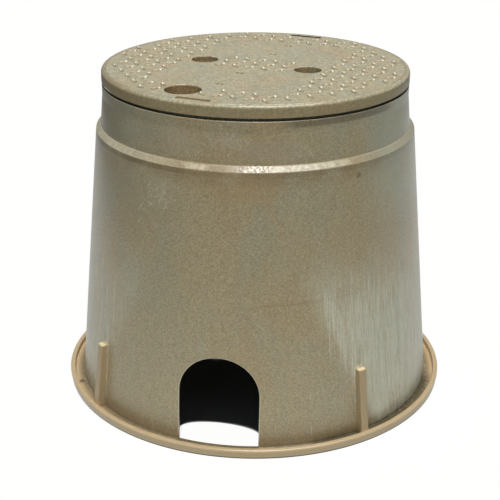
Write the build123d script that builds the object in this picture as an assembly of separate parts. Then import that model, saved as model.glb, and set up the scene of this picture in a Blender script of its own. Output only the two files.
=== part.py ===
from build123d import *
import math
import os

# Round irrigation valve box of the 10 inch class: an open-bottomed conical body and a lift-off cover.
# Millimetres, +Z up. Z 0 is the underside of the base flange, and the front pipe slot faces -Y.

# Conical wall of the body, measured on its outside
wall_thickness = 3.2
wall_foot_radius = 155.4
wall_foot_round = 1.2
shoulder_radius = 134.0
shoulder_height = 227.6
shoulder_round = 1.3

# Base flange, with a trough between the wall and an upturned lip
floor_thickness = 3.2
trough_width = 7.4
lip_width = 4.6
lip_height = 8.0
lip_draft = 1.2
lip_outer_round = 1.8
lip_inner_round = 1.0
lip_inner_radius = wall_foot_radius + trough_width
flange_radius = lip_inner_radius + lip_width

# Collar above the shoulder's sloping ledge
ledge_width = 4.1
ledge_rise = 4.2
collar_height = 33.4
collar_draft = 2.2
collar_straight_band = 9.2
collar_foot_round = 1.0
rim_round = 0.8
collar_foot_radius = shoulder_radius - ledge_width
collar_foot_height = shoulder_height + ledge_rise
collar_radius = collar_foot_radius - collar_draft
collar_bore_radius = collar_radius - wall_thickness
rim_height = collar_foot_height + collar_height

# Seat inside the collar, which carries the cover
seat_depth = 7.6
seat_width = 6.0
seat_edge_thickness = 3.0
seat_height = rim_height - seat_depth

# Pipe slots, one at the front and one at the back
slot_width = 65.4
slot_height = 78.2
slot_count = 2

# Stacking ribs, set midway between the slots
rib_count = 4
rib_width = 7.2
rib_top_height = 60.5
rib_top_depth = 6.0
rib_foot_bite = 0.5
rib_root = 1.6
rib_corner_round = 1.3
rib_top_round = 0.9

# Cover: disc, skirt and the ring that locates it in the collar
cover_overhang = 0.2
cover_reveal = 2.3
cover_skirt_depth = 10.0
cover_edge_round = 3.0
cover_thickness = 4.0
cover_skirt_thickness = 2.6
cover_fit_clearance = 1.0
locating_ring_thickness = 2.0
cover_turn = -12.2
cover_radius = collar_radius + cover_overhang
skirt_foot_height = rim_height + cover_reveal
cover_top_height = skirt_foot_height + cover_skirt_depth
ring_outer_radius = collar_bore_radius - cover_fit_clearance
ring_inner_radius = ring_outer_radius - locating_ring_thickness

# Holes through the cover, each in a sleeve below the disc
small_hole_radius = 11.25
small_hole_reach = 46.4
large_hole_radius = 14.6
large_hole_rim_gap = 14.2
large_hole_turn = 11.1
sleeve_wall = 2.6
sleeve_depth = 13.5

# Pry notches at the front and back of the cover's edge
notch_length = 29.0
notch_width = 5.4
notch_edge_gap = 0.3

# Ribs below the cover
under_rib_count = 8
under_rib_thickness = 2.4
under_rib_depth = 9.0
hub_ring_radius = 22.0
middle_ring_radius = 72.0

# Raised diamond tread on the cover, in two directions by turns
tread_pitch = 13.0
tread_length = 9.4
tread_width = 3.6
tread_height = 1.4
tread_side_angle = 38.0
tread_bed = 0.4
tread_margin = 8.5
tread_hole_gap = 0.8
bare_field_half_width = 60.0
bare_field_near = 19.0
bare_field_far = 85.0


def wall_radius(height):
    """Outside radius of the cone at a height."""
    share = height / shoulder_height
    return wall_foot_radius + (shoulder_radius - wall_foot_radius) * share


def ring_profile(points, rounds):
    """Closed outline in the R-Z plane, with a radius at each named corner."""
    outline = Polyline(*points, close=True)
    face = make_face(outline)
    for corner, radius in rounds:
        near = face.vertices().sort_by_distance(Vector(corner[0], 0, corner[1]))[0]
        face = fillet(near, radius)
    return face


def turned(points, rounds=()):
    """Solid of revolution about Z of an outline given as radius and height."""
    flat_points = [(radius, 0, height) for radius, height in points]
    face = ring_profile(flat_points, rounds)
    return revolve(face, Axis.Z, 360)


def body_shell():
    """Flange, lip, cone, shoulder, collar and seat as one turned moulding."""
    seat_inner = collar_bore_radius - seat_width
    seat_under = seat_height - seat_edge_thickness
    seat_root = seat_under - seat_width
    half_thickness = wall_thickness / 2
    points = [
        (wall_foot_radius - wall_thickness, 0),
        (flange_radius - lip_draft, 0),
        (flange_radius, lip_height),
        (lip_inner_radius, lip_height),
        (lip_inner_radius, floor_thickness),
        (wall_radius(floor_thickness), floor_thickness),
        (shoulder_radius, shoulder_height),
        (collar_foot_radius, collar_foot_height),
        (collar_radius, rim_height - collar_straight_band),
        (collar_radius, rim_height),
        (collar_bore_radius, rim_height),
        (collar_bore_radius, seat_height),
        (seat_inner, seat_height),
        (seat_inner, seat_under),
        (collar_bore_radius, seat_root),
        (collar_foot_radius - wall_thickness, collar_foot_height - half_thickness),
        (shoulder_radius - wall_thickness, shoulder_height - half_thickness),
    ]
    rounds = [
        (points[2], lip_outer_round),
        (points[3], lip_inner_round),
        (points[5], wall_foot_round),
        (points[6], shoulder_round),
        (points[7], collar_foot_round),
        (points[9], rim_round),
        (points[10], rim_round),
    ]
    return turned(points, rounds)


def pipe_slot(angle):
    """Arch-topped cutter through the wall above the flange floor, facing -Y before its turn."""
    half = slot_width / 2
    spring = slot_height - half
    arch = Pos(0, spring) * Circle(half)
    jambs = Pos(0, (spring + floor_thickness) / 2) * Rectangle(slot_width, spring - floor_thickness)
    way = extrude(Plane.XZ * (arch + jambs), amount=flange_radius)
    within_trough = Cylinder(wall_foot_radius + trough_width / 2, 2 * slot_height)
    return Rot(0, 0, angle) * (way & within_trough)


def stacking_rib(angle):
    """Square post with rounded corners on the flange floor, deeper at its foot than at its top."""
    foot_nose = lip_inner_radius + rib_foot_bite
    top_nose = wall_radius(rib_top_height) + rib_top_depth

    def section(height, nose):
        root = wall_radius(height) - rib_root
        block = Pos((root + nose) / 2, 0) * Rectangle(nose - root, rib_width)
        block = fillet(block.vertices().group_by(Axis.X)[-1], rib_corner_round)
        return Pos(0, 0, height) * block

    foot_height = floor_thickness / 2
    post = loft([section(foot_height, foot_nose), section(rib_top_height, top_nose)])
    top_edges = post.edges().group_by(Axis.Z)[-1].sort_by(Axis.X)
    post = fillet(top_edges[1:], rib_top_round)
    return Rot(0, 0, angle - 90) * post


def make_body():
    body = body_shell()
    for index in range(slot_count):
        body -= pipe_slot(index * 360 / slot_count)
    for index in range(rib_count):
        body += stacking_rib((index + 0.5) * 360 / rib_count)
    return body


def cover_shell():
    """Disc, skirt and locating ring, turned as one."""
    under = cover_top_height - cover_thickness
    skirt_inner = cover_radius - cover_skirt_thickness
    points = [
        (0, cover_top_height),
        (0, under),
        (ring_inner_radius, under),
        (ring_inner_radius, seat_height),
        (ring_outer_radius, seat_height),
        (ring_outer_radius, under),
        (skirt_inner, under),
        (skirt_inner, skirt_foot_height),
        (cover_radius, skirt_foot_height),
        (cover_radius, cover_top_height),
    ]
    return turned(points, [(points[-1], cover_edge_round)])


def cover_holes():
    """Place across, place forward and radius of each hole through the cover."""
    large_hole_reach = cover_radius - large_hole_rim_gap - large_hole_radius
    turn = math.radians(large_hole_turn)
    return [
        (-small_hole_reach, 0, small_hole_radius),
        (small_hole_reach, 0, small_hole_radius),
        (-large_hole_reach * math.sin(turn), -large_hole_reach * math.cos(turn), large_hole_radius),
    ]


def under_ribs():
    """Radial ribs and two ring ribs below the disc."""
    under = cover_top_height - cover_thickness
    length = ring_inner_radius - hub_ring_radius + locating_ring_thickness / 2
    ribs = []
    for index in range(under_rib_count):
        rib = Box(length, under_rib_thickness, under_rib_depth + tread_bed)
        rib = Pos(hub_ring_radius + length / 2, 0, under - (under_rib_depth - tread_bed) / 2) * rib
        ribs.append(Rot(0, 0, (index + 0.5) * 360 / under_rib_count) * rib)
    for radius in (hub_ring_radius, middle_ring_radius):
        outline = Circle(radius + under_rib_thickness / 2) - Circle(radius - under_rib_thickness / 2)
        ribs.append(Pos(0, 0, under - under_rib_depth) * extrude(outline, amount=under_rib_depth + tread_bed))
    return ribs


def sleeves():
    """Solid bosses round the holes, bored out with them afterwards."""
    height = sleeve_depth - tread_bed
    bosses = []
    for across, forward, radius in cover_holes():
        boss = extrude(Circle(radius + sleeve_wall), amount=height)
        bosses.append(Pos(across, forward, cover_top_height - sleeve_depth) * boss)
    return bosses


def pry_notch(side):
    """Slot through the disc just inside the locating ring."""
    reach = ring_inner_radius - notch_edge_gap - notch_width / 2
    cutter = Box(notch_length, notch_width, 4 * cover_thickness)
    return Pos(0, side * reach, cover_top_height) * cutter


def tread_places():
    """Centres and turns of the raised lozenges on a square grid, leaving the bare fields."""
    limit = cover_radius - tread_margin
    steps = int(limit // tread_pitch)
    places = []
    for column in range(-steps, steps + 1):
        for row in range(-steps, steps + 1):
            across = column * tread_pitch
            forward = row * tread_pitch
            if math.hypot(across, forward) > limit:
                continue
            in_field = bare_field_near < abs(forward) < bare_field_far
            if in_field and abs(across) < bare_field_half_width:
                continue
            clear = [
                math.hypot(across - hole_across, forward - hole_forward) - radius
                for hole_across, hole_forward, radius in cover_holes()
            ]
            if min(clear) < tread_length / 2 + tread_hole_gap:
                continue
            near_notch = abs(across) < notch_length / 2 + tread_length / 2
            if near_notch and abs(forward) > ring_inner_radius - notch_width - tread_length:
                continue
            turn = 45 if (column + row) % 2 else -45
            places.append((across, forward, turn))
    return places


def tread():
    """All the raised lozenges, with sloping sides, let a little into the disc."""
    half_length = tread_length / 2
    half_width = tread_width / 2
    spread = tread_bed * math.tan(math.radians(tread_side_angle))
    corners = [(-half_length, 0), (0, -half_width), (half_length, 0), (0, half_width)]
    lozenge = offset(Polygon(*corners, align=None), amount=spread, kind=Kind.INTERSECTION)
    nub = extrude(lozenge, amount=tread_height + tread_bed, taper=tread_side_angle)
    nub = Pos(0, 0, cover_top_height - tread_bed) * nub
    return [Pos(across, forward, 0) * (Rot(0, 0, turn) * nub) for across, forward, turn in tread_places()]


def make_cover():
    cover = cover_shell()
    cover = cover.fuse(*under_ribs(), *sleeves())
    for across, forward, radius in cover_holes():
        bore = Cylinder(radius, 2 * (cover_top_height - seat_height))
        cover -= Pos(across, forward, cover_top_height) * bore
    for side in (-1, 1):
        cover -= pry_notch(side)
    cover = cover.fuse(*tread())
    return Rot(0, 0, cover_turn) * cover


def main():
    os.makedirs("parts", exist_ok=True)
    export_step(make_body(), "parts/box_body.step")
    export_step(make_cover(), "parts/cover.step")


main()
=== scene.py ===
import math
import bpy
import bmesh
import numpy as np
from mathutils import Matrix, Vector


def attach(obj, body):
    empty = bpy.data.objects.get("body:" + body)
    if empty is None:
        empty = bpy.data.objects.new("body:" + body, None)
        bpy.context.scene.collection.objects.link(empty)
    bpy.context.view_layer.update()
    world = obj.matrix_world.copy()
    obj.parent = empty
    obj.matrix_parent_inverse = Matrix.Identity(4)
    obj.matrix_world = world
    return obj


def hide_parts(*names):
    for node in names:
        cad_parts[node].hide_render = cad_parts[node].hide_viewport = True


# Round irrigation valve box: a conical body with a base flange, and a tread cover.
# Lengths in the dictionaries are millimetres, angles are degrees; meshes are built in metres.

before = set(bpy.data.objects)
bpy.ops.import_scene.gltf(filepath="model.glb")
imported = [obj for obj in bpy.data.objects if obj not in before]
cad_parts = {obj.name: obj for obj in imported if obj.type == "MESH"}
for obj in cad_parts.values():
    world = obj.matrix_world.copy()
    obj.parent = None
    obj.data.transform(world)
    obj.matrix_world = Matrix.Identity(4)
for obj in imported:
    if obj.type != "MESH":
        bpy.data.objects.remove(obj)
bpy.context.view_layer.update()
mm = 0.001
quarter = np.radians(np.linspace(0, 90, 5))  # angles along a round of four steps
print("stage: frame loaded", sorted(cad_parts))


# Shared mesh tools
def roundedPath(corners, closed=False, steps=5, support=0.2):
    # Corners are (radius, height, round). Each rounded corner is an arc tangent to its two runs,
    # with one more point on each run close to the arc, so that flat faces stay flat in the shading.
    spots = np.array([c[:2] for c in corners], float)
    parts = []
    for i, here in enumerate(spots):
        if not closed and i in (0, len(spots) - 1):
            parts.append(here)
            continue
        back, ahead = spots[i - 1] - here, spots[(i + 1) % len(spots)] - here
        back, ahead = back / np.linalg.norm(back), ahead / np.linalg.norm(ahead)
        size = corners[i][2]
        if size == 0:
            parts.append([here + back * support, here, here + ahead * support])
            continue
        half = math.acos(np.clip(back @ ahead, -1, 1)) / 2
        reach, sweep = size / math.tan(half), math.pi - 2 * half
        middle = back + ahead
        centre = here + middle / np.linalg.norm(middle) * size / math.sin(half)
        first, last = here + back * reach - centre, here + ahead * reach - centre
        t = np.linspace(0, 1, steps + 1)[:, None]
        arc = centre + (first * np.sin((1 - t) * sweep) + last * np.sin(t * sweep)) / math.sin(sweep)
        parts.append(np.vstack([arc[:1] + back * support, arc, arc[-1:] + ahead * support]))
    return np.vstack(parts)


def gridFaces(rows, columns, wrapRows=False):
    # Index quads of a grid of vertices stored row by row, closed across its columns
    i = np.arange(rows if wrapRows else rows - 1)[:, None]
    j = np.arange(columns)[None, :]
    nextRow, nextColumn = (i + 1) % rows, (j + 1) % columns
    return np.stack([i * columns + j, i * columns + nextColumn,
                     nextRow * columns + nextColumn, nextRow * columns + j], -1)


def lathe(profile, angles):
    # Radius and height of each profile point, carried round the Z axis from the front (-Y) towards +X
    a = np.radians(angles)[None, :]
    r, z = profile[:, :1], profile[:, 1:2] + 0 * a
    return np.stack([r * np.sin(a), -r * np.cos(a), z], -1)


def fan(ring, tip):
    # Triangles from a closed ring of vertex numbers to one tip
    return np.stack([ring, np.roll(ring, -1), np.full_like(ring, tip)], -1)


def blockLoop(rows, columns, width):
    # Vertex numbers round a block of a grid: along its first row, up the right, back over the last row, down
    rows, columns = np.asarray(rows), np.asarray(columns)
    return np.concatenate([rows[0] * width + columns, rows[1:] * width + columns[-1],
                           rows[-1] * width + columns[::-1][1:], rows[1:-1][::-1] * width + columns[0]])


def bridge(parts, groups, first, rings, last):
    # Adds rings of new vertices, and quads from a loop of old vertices over the rings to another old loop
    count, size = rings.shape[:2]
    numbers = sum(map(len, parts)) + np.arange(count * size).reshape(count, size)
    numbers = np.vstack([first, numbers, last])
    ahead = np.roll(numbers, -1, 1)
    groups.append(np.stack([numbers[:-1], ahead[:-1], ahead[1:], numbers[1:]], -1))
    parts.append(rings.reshape(-1, 3))


def turned(points, angle):
    # Points turned about Z: x cos - y sin, x sin + y cos, once for every angle
    c, s = np.cos(angle)[..., None], np.sin(angle)[..., None]
    x, y, z = points.T
    return np.stack([c * x - s * y, s * x + c * y, z + 0 * c], -1)


def copies(part, quads, tips, angles, shift=0):
    # One part turned to every angle, then shifted, with the vertex numbers of its faces moved on by its size
    starts = (np.arange(len(angles)) * len(part))[:, None, None]
    return (turned(part, angles) + shift).reshape(-1, 3), [quads + starts], [tips + starts]


def makePiece(name, vertexParts, faceParts):
    # Joins parts of a mesh; each faces array counts from the first vertex of its own part
    faces, start = [], 0
    for vertices, groups in zip(vertexParts, faceParts):
        for group in groups:
            faces += (group.reshape(-1, group.shape[-1]) + start).tolist()
        start += vertices.size // 3
    mesh = bpy.data.meshes.new(name)
    points = np.vstack([vertices.reshape(-1, 3) for vertices in vertexParts])
    mesh.from_pydata((points * mm).tolist(), [], faces)
    work = bmesh.new()
    work.from_mesh(mesh)
    bmesh.ops.recalc_face_normals(work, faces=work.faces)
    work.to_mesh(mesh)
    work.free()
    mesh.shade_smooth()
    mesh.set_sharp_from_angle(angle=math.radians(38))
    mesh.validate()
    piece = bpy.data.objects.new(name, mesh)
    bpy.context.scene.collection.objects.link(piece)
    return piece


# Body
body = {
    "wallFoot": 155.4, "shoulder": 134.0, "shoulderHeight": 227.6, "wall": 3.2,
    "footRound": 1.2, "floor": 3.2, "lipInner": 162.8, "flange": 167.4, "flangeFoot": 166.2, "lip": 8.0,
    "collarFoot": 129.9, "collarFootHeight": 231.8, "collar": 127.7, "collarStraight": 256.0,
    "rim": 265.2, "seat": 257.6, "seatWidth": 6.0, "seatEdge": 3.0,
    "slotWidth": 65.4, "slotHeight": 78.2, "slotFoot": 1.6, "slotEdge": 0.55,
    "ribWidth": 7.2, "ribTop": 60.5, "ribTopDepth": 6.0, "ribFootNose": 163.3, "ribFillet": 0.9,
    "ribCorner": 1.3, "ribTopRound": 0.9, "shoulderRound": 1.3, "collarFootRound": 1.0, "collarRound": 6.0,
    "rimRound": 0.8, "seatRound": 0.5, "underSeatRound": 1.5, "insideRound": 2.0,
    "lipOuterRound": 1.8, "lipInnerRound": 1.0, "troughRound": 0.7, "flangeBite": 0.15,
    "columns": 288, "slotBlock": 18, "ribBlock": 2, "blockTop": 120.0,
}


def wallRadius(z):
    # Straight line from the wall's foot to the shoulder
    return body["wallFoot"] + (body["shoulder"] - body["wallFoot"]) * z / body["shoulderHeight"]


def footFlare(z):
    # Concave round where the wall meets the flange floor: zero above it, its full width at the floor
    size = body["footRound"]
    return size - np.sqrt(size ** 2 - np.clip(body["floor"] + size - z, 0, size) ** 2)


def ribDepth(z):
    # How far a rib's nose stands out of the wall: its line runs straight from the foot to the top
    low, foot = body["floor"] / 2, body["ribFootNose"]
    top = wallRadius(body["ribTop"]) + body["ribTopDepth"]
    return foot + (top - foot) * (z - low) / (body["ribTop"] - low) - wallRadius(z)


def bodyColumns():
    # Each column: the azimuth of its own frame, its offset across that frame, a fixed part of how far it
    # stands out, and whether it follows the rib's nose. Across a rib the columns go along a root fillet,
    # up the side, round a corner, over the nose and back.
    half, fillet, corner = body["ribWidth"] / 2, body["ribFillet"], body["ribCorner"]
    near, far = 1 - np.cos(quarter), 1 - np.sin(quarter)
    side = np.array([[*(half + fillet * far), half, *(half - corner * near), half - corner - 0.4],
                     [*(fillet * near), -corner - 0.3, *(-corner * far), 0],
                     [0] * 5 + [1] * 7])
    rib = np.hstack([side * [[-1], [1], [1]], [[0], [0], [1]], side[:, ::-1]])
    total, step = body["columns"], 360 / body["columns"]
    columns, place, start = [], {}, 0
    ribAt = [total * (2 * k + 1) // 8 for k in range(4)]
    for number in range(total):  # a few hundred columns, not vertices
        close = [at for at in ribAt if abs(number - at) < body["ribBlock"]]
        if close and number != close[0]:
            continue
        if not close:
            place[number] = start
        across = rib if close else np.zeros((3, 1))
        columns.append(np.vstack([np.full(across.shape[1], number * step), across]))
        start += across.shape[1]
    return *np.hstack(columns), place


def bodyRows():
    # Heights of the lower rows, the same ones outside and inside; near a rib's top they bunch up,
    # and there the rib's own height and depth come from the rounded end of the rib.
    top, size = body["ribTop"], body["ribTopRound"]
    inward = size * (1 - np.cos(quarter))
    foot = [0.1, 0.6, 2.4, 3.2, 3.3, 3.45, 3.7, 4.05, 4.4, 5.2, 9, 14, 20, 26, 32, 38, 44, 50, 55, 58.5]
    above = [64, 70, 78, 87, 97, 108, body["blockTop"]]
    endHeight = [*(top - size + size * np.sin(quarter)), top, top, top, top + 0.25, top + 0.8]
    endShare = [*(1 - inward / body["ribTopDepth"]), 0.6, 0.35, 0.14, 0.04, 0.0]
    endNarrow = [*(1 - inward * 2 / body["ribWidth"]), 0.75, 0.75, 0.8, 0.9, 1.0]
    wallHeight = [*foot, *np.linspace(top - size, top + 0.8, len(endHeight)), *above]
    share = [1] * len(foot) + endShare + [0] * len(above)
    narrow = [1] * len(foot) + endNarrow + [1] * len(above)
    return np.array([wallHeight, [*foot, *endHeight, *above], share, narrow])


def archOutline(heights, count, out):
    # Slot outline in X and Z, grown by out, one point for each node round its block:
    # along the sill, up the right jamb and arch, over the crown, and down the left
    half, spring = body["slotWidth"] / 2 + out, body["slotHeight"] - body["slotWidth"] / 2
    foot, corner = body["slotFoot"] - out, math.radians(50)
    angle = np.clip((heights - spring) / (body["blockTop"] - spring), 0, 1) * corner
    onJamb = heights <= spring
    jamb = np.stack([np.where(onJamb, half, half * np.cos(angle)),
                     np.where(onJamb, np.maximum(heights, foot), spring + half * np.sin(angle))], -1)
    sill = np.stack([np.linspace(-half, half, count), np.full(count, foot)], -1)
    over = np.linspace(corner, math.pi - corner, count)[1:]
    crown = np.stack([half * np.cos(over), spring + half * np.sin(over)], -1)
    return np.vstack([sill, jamb[1:], crown, jamb[1:-1][::-1] * [-1, 1]])


def slotRings(outerLoop, innerLoop, heights, count):
    # Rings from the block's edge on the outside to its edge on the inside: over the outer face, round the
    # edge, through the wall, round the inner edge and over the inner face. Y comes from the wall's circle
    # at that height, -sqrt(radius^2 - x^2), so the jambs run straight along Y.
    edge = body["slotEdge"]

    def ring(inside, x, z, inset=0.0):
        radius = wallRadius(z) - body["wall"] if inside else wallRadius(z) + footFlare(z)
        return np.stack([x, (-inset if inside else inset) - np.sqrt(radius ** 2 - x ** 2), z], -1)

    def faceAndEdge(inside, loop):
        grown = archOutline(heights, count, edge)
        rings = [ring(inside, *(loop[:, [0, 2]] * (1 - s) + grown * s).T)
                 for s in (0.2, 0.4, 0.58, 0.73, 0.85, 0.93, 0.98, 1.0)]
        for a in quarter[1:]:
            outline = archOutline(heights, count, edge * (1 - math.sin(a)))
            rings.append(ring(inside, *outline.T, edge * (1 - math.cos(a))))
        return rings

    return np.array(faceAndEdge(False, outerLoop) + faceAndEdge(True, innerLoop)[::-1])


def makeBody():
    azimuth, offset, stand, ride, place = bodyColumns()
    lowerRows = bodyRows()
    columns, lower = len(azimuth), lowerRows.shape[1]
    wall, top, seatRound = body["wall"], body["blockTop"], body["seatRound"]

    # upper profile, from the outer face at the block's top, over the rim and down to the inner face there
    bore = body["collar"] - wall
    seatInner, seatUnder = bore - body["seatWidth"], body["seat"] - body["seatEdge"]
    upper = roundedPath([
        *((wallRadius(z), z, 0) for z in (top, 140, 165, 190, 212)),
        (body["shoulder"], body["shoulderHeight"], body["shoulderRound"]),
        (body["collarFoot"], body["collarFootHeight"], body["collarFootRound"]),
        (body["collar"], body["collarStraight"], body["collarRound"]),
        (body["collar"], body["rim"], body["rimRound"]), (bore, body["rim"], body["rimRound"]),
        (bore, body["seat"], seatRound), (seatInner, body["seat"], seatRound),
        (seatInner, seatUnder, seatRound), (bore, seatUnder - body["seatWidth"], body["underSeatRound"]),
        (body["collarFoot"] - wall, body["collarFootHeight"] - wall / 2, body["insideRound"]),
        (body["shoulder"] - wall, body["shoulderHeight"] - wall / 2, body["insideRound"]),
        (wallRadius(180) - wall, 180, 0), (wallRadius(top) - wall, top, 0),
    ])[1:-1]

    # every row: radius, height on the wall, height on a rib, how far the rib stands out, how much it narrows
    def plainRows(radius, z):
        return np.stack([radius, z, z, 0 * z, 1 + 0 * z], -1)

    wallHeight = lowerRows[0]
    outer = np.vstack([wallRadius(wallHeight) + footFlare(wallHeight), lowerRows]).T
    inner = plainRows(wallRadius(wallHeight) - wall, wallHeight)[::-1]
    rows = np.vstack([outer, plainRows(*upper.T), inner])
    radius, wallZ, ribZ, out, thin = rows.T[:, :, None]
    onRib = np.clip(np.clip(stand / body["ribFillet"], 0, 1) + ride, 0, 1)
    sideways = offset * thin
    along = np.sqrt(radius ** 2 - sideways ** 2) + (stand + ride * ribDepth(ribZ)) * out
    a = np.radians(azimuth)
    grid = np.stack([along * np.sin(a) + sideways * np.cos(a), sideways * np.sin(a) - along * np.cos(a),
                     wallZ + (ribZ - wallZ) * onRib], -1)

    # the two pipe slots are blocks of the grid, taken out and joined through the wall by rings
    total = len(rows)
    outerRows = np.arange(1, lower)
    keep = np.ones((total, columns), bool)
    flat = grid.reshape(-1, 3)
    parts, groups = [flat], []
    for middle, flip in ((0, 1), (body["columns"] // 2, -1)):
        block = range(middle - body["slotBlock"], middle + body["slotBlock"] + 1)
        numbers = [place[number % body["columns"]] for number in block]
        keep[1:lower - 1, numbers[:-1]] = False
        keep[total - lower:total - 2, numbers[:-1]] = False
        outerLoop = blockLoop(outerRows, numbers, columns)
        innerLoop = blockLoop(total - 1 - outerRows, numbers, columns)
        turn = [flip, flip, 1]
        rings = slotRings(flat[outerLoop] * turn, flat[innerLoop] * turn, wallHeight[1:], len(numbers)) * turn
        bridge(parts, groups, outerLoop, rings, innerLoop)

    # base flange: its own closed ring, let into the foot of the wall
    flangeInner = body["wallFoot"] - wall + body["flangeBite"]
    profile = roundedPath([
        (flangeInner, 0, 0.3), (body["flangeFoot"], 0, 0.5),
        (body["flange"], body["lip"], body["lipOuterRound"]),
        (body["lipInner"], body["lip"], body["lipInnerRound"]),
        (body["lipInner"], body["floor"], body["troughRound"]),
        (flangeInner, body["floor"], 0.4)], closed=True)
    flange = lathe(profile, np.arange(body["columns"]) * 360 / body["columns"])
    wallFaces = gridFaces(total, columns, wrapRows=True)[keep]
    return makePiece("boxMoulding", [np.vstack(parts), flange],
                     [[wallFaces, *groups], [gridFaces(len(profile), body["columns"], wrapRows=True)]])


# Cover
cover = {
    "turn": -12.2, "radius": 127.9, "top": 277.5, "thickness": 4.0, "edge": 3.0, "skirtFoot": 267.5,
    "skirt": 2.6, "ringOuter": 123.5, "ringInner": 121.5, "ringFoot": 257.6,
    "smallHole": 11.25, "smallReach": 46.4, "largeHole": 14.6, "largeReach": 99.1, "largeTurn": 11.1,
    "sleeveWall": 2.6, "sleeveDepth": 13.5, "sleeveRound": 0.5, "holeEdge": 0.6,
    "notchLength": 29.0, "notchWidth": 5.4, "notchMiddle": 118.5, "notchEdge": 0.4,
    "ribs": 8, "ribWidth": 2.4, "ribDepth": 9.0, "hubRing": 22.0, "middleRing": 72.0, "columns": 288,
}
tread = {
    "pitch": 13.0, "length": 9.4, "width": 3.6, "height": 1.38, "margin": 8.5, "holeGap": 0.8,
    "fieldHalf": 60.0, "fieldNear": 19.0, "fieldFar": 85.0,
}
under = cover["top"] - cover["thickness"]


def coverHoles():
    # Across, forward and radius of each hole, then its block: the radii of its first and last row, the
    # azimuth of its middle, and how many columns it has on each side
    turn, reach = math.radians(cover["largeTurn"]), cover["largeReach"]
    return [
        (-cover["smallReach"], 0, cover["smallHole"], (30.0, 63.0), 270, 18),
        (cover["smallReach"], 0, cover["smallHole"], (30.0, 63.0), 90, 18),
        (-reach * math.sin(turn), -reach * math.cos(turn), cover["largeHole"], (79.5, 115.2),
         -cover["largeTurn"], 10),
    ]


def circleOutline(nodes, x, y, radius):
    # The point of the circle that lies on the line from its centre to each node
    way = nodes - [x, y]
    return way / np.linalg.norm(way, axis=1, keepdims=True) * radius + [x, y]


def slotOutline(nodes, side, grow, limit=200):
    # The node's place in its block, by the larger of its two shares, carried to the notch's outline;
    # below the disc the outline is held inside the locating ring
    middle = side * cover["notchMiddle"]
    across, forward = nodes[:, 0], nodes[:, 1] - middle
    s = across / np.abs(across).max()
    t = np.where(forward > 0, forward / forward.max(), forward / -forward.min())
    size = np.maximum(np.abs(s), np.abs(t))
    spots = np.stack([s / size * (cover["notchLength"] / 2 + grow),
                      t / size * (cover["notchWidth"] / 2 + grow) + middle], -1)
    return spots * np.minimum(1, limit / np.linalg.norm(spots, axis=1, keepdims=True))


def coverProfile(discRows):
    # Radius and height of each row, from the middle of the top round the rim, skirt and locating ring to the
    # middle of the underside. A low bead runs along the start of the rim's round, a faint groove inside it.
    top, edge, radius = cover["top"], cover["edge"], cover["radius"]
    bend = np.radians(np.linspace(12, 90, 9))
    rim = np.stack([radius - edge + edge * np.sin(bend), top - edge + edge * np.cos(bend)], -1)
    bead = np.array([[123.3, -0.02], [123.7, -0.12], [124.1, -0.16], [124.5, -0.05],
                     [124.8, 0.1], [125.1, 0.1], [125.35, -0.03]]) + [0, top]
    skirtInner = radius - cover["skirt"]
    hidden = roundedPath([
        (radius, top - edge - 0.5, 0), (radius, cover["skirtFoot"], 0.3),
        (skirtInner, cover["skirtFoot"], 0.5), (skirtInner, under, 0.4),
        (cover["ringOuter"], under, 0.4), (cover["ringOuter"], cover["ringFoot"], 0.4),
        (cover["ringInner"], cover["ringFoot"], 0.4), (cover["ringInner"], under + 1.0, 0)], steps=4)
    upper = np.array([*discRows, 118.3, 119.8, 121.3, 122.9])
    lower = np.array([*discRows, 118.0, 119.2, 120.4, cover["ringInner"]])[::-1]
    return np.vstack([np.stack([upper, 0 * upper + top], -1), bead, rim, hidden[:-1],
                      np.stack([lower, 0 * lower + under], -1)])


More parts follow.
